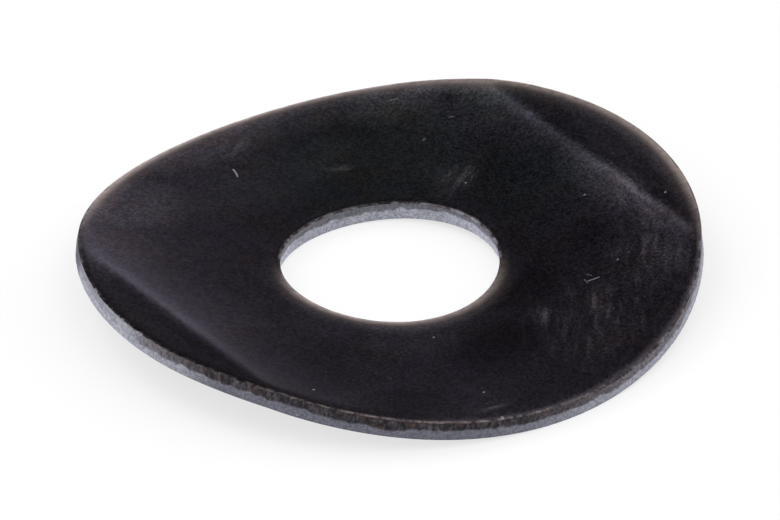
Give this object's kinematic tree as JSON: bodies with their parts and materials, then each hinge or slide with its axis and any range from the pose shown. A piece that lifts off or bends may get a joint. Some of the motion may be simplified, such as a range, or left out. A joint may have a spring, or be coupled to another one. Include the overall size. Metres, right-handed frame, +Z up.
{
  "type": "curved spring washer",
  "caption": "Round spring washer of blackened sheet steel, bowed into a shallow trough, with a central hole and a flatter lip at each end.",
  "frame": {"origin": "on the axis of the hole, at the level where the underside of the bow touches the ground", "axes": "+Z up along the axis of the hole, towards the hollow side; Y along the bow's straight lines; the lips stand up along +X and -X"},
  "size_m": [0.0238, 0.024, 0.0024],
  "materials": {
    "blackened_steel": "black oxide on rolled spring steel, satin, with a greyer broken zone on the cut edges"
  },
  "bodies": {
    "root": {"washer": "blackened_steel"}
  },
  "joints": []
}
